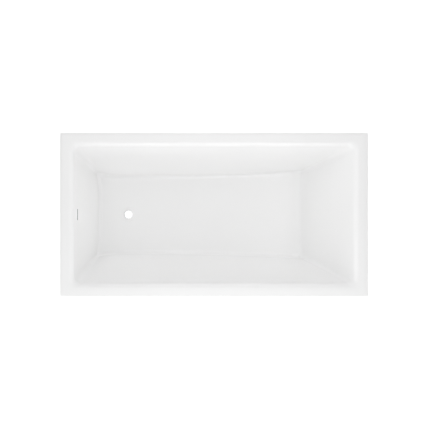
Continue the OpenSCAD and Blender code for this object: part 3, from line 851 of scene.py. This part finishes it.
def fasteners():
    """Bolts where the rails cross, lock nuts on the feet, and the screws into the board and the battens."""
    bolt_low, bolt_top = (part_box("frame_bolts")[k].z for k in (0, 1))
    bolt = merged(hexagon(HEX_D, bolt_low, cross_low, 0),
                  threaded(BOLT_D / 2, cross_low - 0.0005, bolt_top, BOLT_PITCH))
    place(new_mesh("Frame_Bolts", at(crossings, bolt), [BRIGHT_ZINC]), "bath", "zinc", "frame_bolts")

    stems = [(p.x, p.y) for p in foot_places]
    nuts = merged(*[hexagon(LOCK_NUT_D, z, z + LOCK_NUT_T, STEM_D + 0.0001)
                    for z in (cross_low - LOCK_NUT_T, cross_high)])
    place(new_mesh("Foot_Lock_Nuts", at(stems, nuts), [BRIGHT_ZINC]), "bath", "zinc", "foot_lock_nuts")

    board_places = [(x, middle(r).y) for x in BOARD_SCREW_X for r in long_rails]
    screws = at(board_places, flanged_screw(long_low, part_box("board_screws")[1].z - long_low))
    place(new_mesh("Board_Screws", screws, [YELLOW_ZINC]), "bath", "screw_steel", "board_screws")

    posts = [middle(f"frame_post_{i}") for i in supports]
    post_places = [(p.x + side * POST_SCREW_X, p.y) for p in posts for side in (-1, 1)]
    head_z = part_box("frame_post_1")[1].z - PLATE_T
    screws = at(post_places, flanged_screw(head_z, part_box("post_screws")[1].z - head_z))
    place(new_mesh("Post_Screws", screws, [YELLOW_ZINC]), "bath", "screw_steel", "post_screws")


# ---- Levelling feet ----

def foot_pad(i):
    """Round pad with radial ribs and a hollow for the stem's end."""
    node = f"foot_pad_{i}"
    r, top = half_width(node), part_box(node)[1].z
    neck, edge, socket_r, socket_z = 0.014, 0.005, STEM_D / 2 + 0.0001, 0.004
    ribs, rib_h, slope_steps = 12, 0.0009, 6

    def shape(radius, z, a):
        on_slope = neck < radius < r - 0.001 and z > edge - 0.001
        rib = max(0.0, math.cos(a * ribs)) ** 4
        return radius, z + (rib_h * rib if on_slope else 0)

    slope_r, slope_z = r - 0.0015, edge + 0.0006
    slope = [(slope_r + (neck - slope_r) * k / slope_steps, slope_z + (top - slope_z) * k / slope_steps)
             for k in range(slope_steps)]
    base = [(AXIS, 0.0), (r - 0.006, 0.0), (r - 0.005, 0.0), (r - 0.0012, 0.0), (r - 0.0003, 0.0004),
            (r, 0.0013), (r, edge - 0.001), (r - 0.0004, edge)]
    socket = [(neck, top - 0.0002), (neck - 0.0006, top), (socket_r + 0.0005, top),
              (socket_r, top - 0.0005), (socket_r, socket_z), (AXIS, socket_z)]
    spot = middle(node)
    part = lathe(base + slope + socket, 96, (spot.x, spot.y), closed=False, shape=shape)
    place(new_mesh(f"Foot_Pad_{i}", part, [BLACK_NYLON]), f"foot_{i}", "foot_plastic", node)


def foot_stem(i):
    """Threaded stem with a hexagonal collar that stands on the pad."""
    node = f"foot_stem_{i}"
    low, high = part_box(node)
    collar_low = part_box(f"foot_pad_{i}")[1].z
    collar_h = 0.008
    collar_d = LOCK_NUT_D - 0.002
    part = merged(rod(STEM_D / 2 - 0.0002, low.z, collar_low + 0.001),
                  hexagon(collar_d, collar_low, collar_low + collar_h, 0),
                  threaded(STEM_D / 2, collar_low + collar_h - 0.001, high.z, STEM_PITCH))
    part = moved(part, Matrix.Translation((middle(node).x, middle(node).y, 0)))
    place(new_mesh(f"Foot_Stem_{i}", part, [BRIGHT_ZINC]), f"foot_{i}", "zinc", node)


# ---- Waste ----

def waste_flange():
    """Ring flush with the floor, its threaded tail, and the spider that carries the latch."""
    r, lip_r = half_width("waste_flange"), half_width("plug_cap") + 0.0003
    tail, top = (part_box("waste_flange")[k].z for k in (0, 1))
    under, ledge, throat_r, tail_r = floor_z - 0.003, floor_z - 0.0022, 0.0195, 0.0245
    bar, hub_r, hub_bore = 0.004, 0.008, 0.0045
    profile = [(r, under), (r, top - 0.0010), (r - 0.0003, top - 0.0004), (r - 0.0010, top - 0.0001),
               (r - 0.0022, top), (lip_r + 0.0010, top), (lip_r + 0.0003, top - 0.0002),
               (lip_r, top - 0.0007), (lip_r, ledge + 0.0003), (lip_r - 0.0003, ledge),
               (throat_r + 0.0004, ledge), (throat_r, ledge - 0.0004), (throat_r, tail),
               (tail_r, tail), (tail_r, under)]
    hub = lathe([(hub_r, tail), (hub_r, tail + bar), (hub_bore, tail + bar), (hub_bore, tail)], 48)
    spokes = []
    for k in range(4):
        low, high = (hub_r - 0.001, -bar / 2, tail), (throat_r + 0.001, bar / 2, tail + bar)
        spoke = rounded_box(low, high, 0.0004, 2)
        spokes.append(moved(spoke, Matrix.Rotation(k * math.pi / 2, 4, "Z")))
    part = merged(lathe(profile, 128), hub, *spokes)
    piece = new_mesh("Waste_Flange", moved(part, Matrix.Translation((drain_x, 0, 0))), [WHITE_FITTING])
    place(piece, "bath", "white_fitting", "waste_flange")


def plug_cap():
    """Thin polished cap with a soft edge and a slight dome."""
    low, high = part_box("plug_cap")
    r, edge_r, dome_h = half_width("plug_cap"), 0.0004, 0.0002
    dome_steps, edge_steps = 10, 5
    shoulder = high.z - dome_h
    dome_r = ((r - edge_r) ** 2 + dome_h ** 2) / (2 * dome_h)
    dome = []
    for k in range(dome_steps + 1):
        x = (r - edge_r) * (1 - k / dome_steps)
        dome.append((max(x, AXIS), shoulder + math.sqrt(dome_r ** 2 - x ** 2) - (dome_r - dome_h)))
    turn = [math.pi / 2 * k / edge_steps for k in range(edge_steps)]
    edge = [(r - edge_r + edge_r * math.cos(a), shoulder - edge_r + edge_r * math.sin(a)) for a in turn]
    base = [(AXIS, low.z), (r - edge_r, low.z), (r, low.z + edge_r)]
    part = lathe(base + edge + dome, 128, (drain_x, 0), closed=False)
    place(new_mesh("Plug_Cap", part, [CHROME]), "plug", "cap_chrome", "plug_cap")


def latch_spring():
    """Three turns of wire between the sleeve and the plug."""
    low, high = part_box("latch_sleeve")[1].z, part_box("plug_stem")[1].z - 0.001
    wire_r, coil_r, turns, per_turn, sides = 0.0006, 0.0048, 3, 32, 12
    start, end = low + wire_r, high - wire_r
    rings = []
    for k in range(turns * per_turn + 1):
        a = 2 * math.pi * k / per_turn
        z = start + (end - start) * k / (turns * per_turn)
        ring = []
        for j in range(sides):
            b = 2 * math.pi * j / sides
            out = coil_r + wire_r * math.cos(b)
            ring.append((drain_x + out * math.cos(a), out * math.sin(a), z + wire_r * math.sin(b)))
        rings.append(ring)
    piece = new_mesh("Latch_Spring", loft(rings), [SPRING_STEEL])
    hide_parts("latch_spring")
    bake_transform(piece)


# ---- Overflow ----

def overflow_trim():
    """Thin rounded frame round the slot, with the sleeve that passes through the wall, its inside black as
    painted shade in the slot.
    """
    edge, depth = TRIM_EDGE, 0.011
    face, seat = -0.0011, -0.0001
    # Growth from the slot's outline, and depth in the wall. The first face is the sleeve's inside, painted
    # black as shade in the slot.
    profile = [(0, depth), (0, face + 0.0005), (0.0001, face + 0.0002), (0.0004, face), (edge - 0.0012, face),
               (edge - 0.0004, face + 0.0002), (edge, face + 0.0007), (edge, seat), (TRIM_SLEEVE, seat),
               (TRIM_SLEEVE, depth)]
    rings = [slot_outline(grow, z, 16) for grow, z in profile]
    part = moved(loft(rings, closed=True), overflow_frame())
    # The sleeve's inside faces get black nylon: painted shade that darkens the slot.
    shade_lined = [1 if k < len(rings[0]) else 0 for k in range(len(part[1]))]
    piece = new_mesh("Overflow_Trim", part, [WHITE_FITTING, BLACK_NYLON], painted=shade_lined)
    place(piece, "bath", "white_fitting", "overflow_trim")


def hose_route():
    """Points of the hose's centre line, each with its turn from upright and its place along the hose.

    The line goes down behind the end wall, round a bend and in to the waste.
    """
    x, z = middle("hose_nut_upper").x, middle("hose_nut_lower").z
    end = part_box("overflow_hose")[1]
    step = HOSE_PITCH / 6
    bend_z, bend_x = z + HOSE_BEND, x + HOSE_BEND
    down, arc, level = end.z - bend_z, math.pi / 2 * HOSE_BEND, end.x - bend_x
    length = down + arc + level
    count = int(length / step)
    route = []
    for k in range(count + 1):
        s = length * k / count
        if s < down:
            route.append((Vector((x, 0, end.z - s)), 0.0, s))
        elif s < down + arc:
            a = (s - down) / HOSE_BEND
            spot = (bend_x - HOSE_BEND * math.cos(a), 0, bend_z - HOSE_BEND * math.sin(a))
            route.append((Vector(spot), a, s))
        else:
            route.append((Vector((bend_x + s - down - arc, 0, z)), math.pi / 2, s))
    return route


def overflow_hose():
    """Corrugated hose with a plain cuff at each end."""
    route = hose_route()
    length = route[-1][2]
    cuff, valley, sides = 0.032, 0.0013, 24
    rings = []
    for spot, turn, s in route:
        ribbed = min(1.0, max(0.0, (min(s, length - s) - cuff) / HOSE_PITCH))
        wave = 0.5 - 0.5 * math.cos(2 * math.pi * s / HOSE_PITCH)
        r = HOSE_R - 0.0001 - valley * ribbed * wave ** 1.5
        across = Vector((math.cos(turn), 0, math.sin(turn)))
        ring = []
        for i in range(sides):
            a = 2 * math.pi * i / sides
            ring.append(tuple(spot + across * (r * math.cos(a)) + Vector((0, r * math.sin(a), 0))))
        rings.append(ring)
    piece = new_mesh("Overflow_Hose", loft(rings), [POLYETHYLENE], sharp=80)
    place(piece, "bath", "hose_plastic", "overflow_hose")


def union_nut():
    """Grooved union nut whose open mouth faces +Z, with its back at zero."""
    r, height, bore, mouth = 0.019, 0.018, HOSE_R + 0.0003, 0.0151
    grooves, groove_d = 16, 0.0011

    def shape(radius, z, a):
        if radius < mouth + 0.001:
            return radius, z
        return radius - groove_d * max(0.0, math.cos(a * grooves)) ** 2, z

    profile = [(bore, 0), (r - 0.0018, 0), (r - 0.0006, 0.0003), (r, 0.0012), (r, height - 0.0012),
               (r - 0.0005, height - 0.0003), (r - 0.0016, height), (mouth, height), (mouth, NUT_WEB),
               (bore, NUT_WEB)]
    return lathe(profile, 128, shape=shape)


def hose_nuts():
    """The upper nut opens upwards, and the lower one towards the waste."""
    upper = (middle("hose_nut_upper").x, 0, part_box("hose_nut_upper")[0].z)
    lower = (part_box("hose_nut_lower")[0].x, 0, middle("hose_nut_lower").z)
    places = (("hose_nut_upper", Matrix.Translation(upper)),
              ("hose_nut_lower", Matrix.Translation(lower) @ Matrix.Rotation(math.pi / 2, 4, "Y")))
    for node, matrix in places:
        piece = new_mesh(node.title(), moved(union_nut(), matrix), [POLYPROPYLENE])
        place(piece, "bath", "waste_plastic", node)


# ---- CAD pieces that keep their shape ----

KEPT = {"base_board": BOARD, "frame_nuts": BRIGHT_ZINC, "waste_top_seal": RUBBER, "waste_under_seal": RUBBER,
        "waste_body": POLYPROPYLENE, "plug_seal": RUBBER, "plug_stem": BRASS, "latch_sleeve": BRASS,
        "overflow_gasket": RUBBER, "overflow_housing": POLYPROPYLENE, "hose_seal_upper": RUBBER,
        "hose_seal_lower": RUBBER}


def paint_kept():
    """Gives the CAD pieces that stay as they are their materials."""
    for node, look in KEPT.items():
        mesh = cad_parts[node].data
        mesh.materials.clear()
        mesh.materials.append(look)


bath_shell()
outer_skirt()
battens()
rails()
for number in supports:
    post(number)
    foot_pad(number)
    foot_stem(number)
rail_end_caps()
fasteners()
waste_flange()
plug_cap()
latch_spring()
overflow_trim()
overflow_hose()
hose_nuts()
paint_kept()


# ---- Stage, light and camera ----

# Square lamps round the bath. For each: its heading and its height in degrees, how far away it is,
# the length of its side, and its power in watts.
LAMPS = (("Front_Low", -90, 30, 5.0, 2.5, 23),
         ("Front_Grazing", -90, 12, 4.0, 1.2, 23),
         ("Front_Near", -90, 50, 2.4, 1.2, 13),
         ("Front_Drain_Corner", -135, 14, 4.0, 1.2, 25),
         ("Front_Backrest_Corner", -45, 14, 4.0, 1.2, 13),
         ("Back_Low", 90, 30, 5.0, 2.5, 13),
         ("Back_Grazing", 90, 12, 4.0, 1.2, 16),
         ("Back_Near", 90, 50, 2.4, 1.2, 10),
         ("Drain_End_Low", 180, 30, 5.0, 2.5, 26),
         ("Drain_End_High", 180, 60, 5.0, 2.5, 35),
         ("Backrest_Low", 0, 30, 5.0, 2.5, 8),
         ("Backrest_High", 0, 60, 5.0, 2.5, 49),
         ("Overhead", 0, 90, 8.0, 2.2, 16))

# Strength of the floor and of the surroundings, as the camera sees them and as the bath does.
FLOOR_SEEN, FLOOR_UNSEEN, FLOOR_ALBEDO = 0.93, 0.0, 0.6
SKY_SEEN, SKY_UNSEEN = 1.0, 0.05

CAMERA_PLACE = (0.005, -0.002, 6.0)
VIEW_WIDTH = 2.129
GAMMA = 1.3
DIFFUSE_BOUNCES = 8


def soft_box(name, heading, height, distance, size, power):
    """Square lamp that faces the bath and isn't seen itself."""
    lamp = bpy.data.lights.new(name, "AREA")
    lamp.shape = "SQUARE"
    lamp.size = size
    lamp.energy = power
    item = bpy.data.objects.new(name, lamp)
    turn, lift = math.radians(heading), math.radians(height)
    away = (math.cos(turn) * math.cos(lift), math.sin(turn) * math.cos(lift), math.sin(lift))
    item.location = distance * Vector(away)
    item.rotation_euler = (Vector((0, 0, rim_z / 2)) - item.location).to_track_quat("-Z", "Y").to_euler()
    item.visible_camera = False
    bpy.context.scene.collection.objects.link(item)


def bright_for_camera(tree, socket, seen, unseen):
    """Gives a strength one value as the camera sees it and another as the bath does."""
    ray = tree.nodes.new("ShaderNodeLightPath")
    strength = tree.nodes.new("ShaderNodeMapRange")
    strength.inputs["To Min"].default_value = unseen
    strength.inputs["To Max"].default_value = seen
    tree.links.new(ray.outputs["Is Camera Ray"], strength.inputs["Value"])
    tree.links.new(strength.outputs["Result"], socket)


def stage_floor():
    """Floor whose own light, which only the camera sees, keeps it white beside the bath."""
    half = 12.0
    corners = [(-half, -half, 0), (half, -half, 0), (half, half, 0), (-half, half, 0)]
    mesh = bpy.data.meshes.new("Stage_Floor")
    mesh.from_pydata(corners, [], [(0, 1, 2, 3)])
    ground = bpy.data.objects.new("Stage_Floor", mesh)
    bpy.context.scene.collection.objects.link(ground)
    material = bpy.data.materials.new("Stage_White")
    material.use_nodes = True
    shader = material.node_tree.nodes["Principled BSDF"]
    shader.inputs["Base Color"].default_value = (FLOOR_ALBEDO, FLOOR_ALBEDO, FLOOR_ALBEDO, 1)
    shader.inputs["Roughness"].default_value = 0.9
    shader.inputs["Specular IOR Level"].default_value = 0.0
    shader.inputs["Emission Color"].default_value = (1, 1, 1, 1)
    bright_for_camera(material.node_tree, shader.inputs["Emission Strength"], FLOOR_SEEN, FLOOR_UNSEEN)
    mesh.materials.append(material)


def white_surroundings():
    """Surroundings that look white to the camera and add a little light."""
    world = bpy.data.worlds.new("Soft_World")
    world.use_nodes = True
    sky = world.node_tree.nodes["Background"]
    sky.inputs["Color"].default_value = (1, 1, 1, 1)
    bright_for_camera(world.node_tree, sky.inputs["Strength"], SKY_SEEN, SKY_UNSEEN)
    bpy.context.scene.world = world


def top_camera():
    """Looks straight down, with no perspective."""
    data = bpy.data.cameras.new("Camera")
    data.type = "ORTHO"
    data.ortho_scale = VIEW_WIDTH
    camera = bpy.data.objects.new("Camera", data)
    camera.location = CAMERA_PLACE
    bpy.context.scene.collection.objects.link(camera)
    bpy.context.scene.camera = camera


for lamp in LAMPS:
    soft_box(*lamp)
stage_floor()
white_surroundings()
top_camera()
bpy.context.scene.view_settings.view_transform = "Standard"
bpy.context.scene.view_settings.gamma = GAMMA
bpy.context.scene.cycles.diffuse_bounces = DIFFUSE_BOUNCES
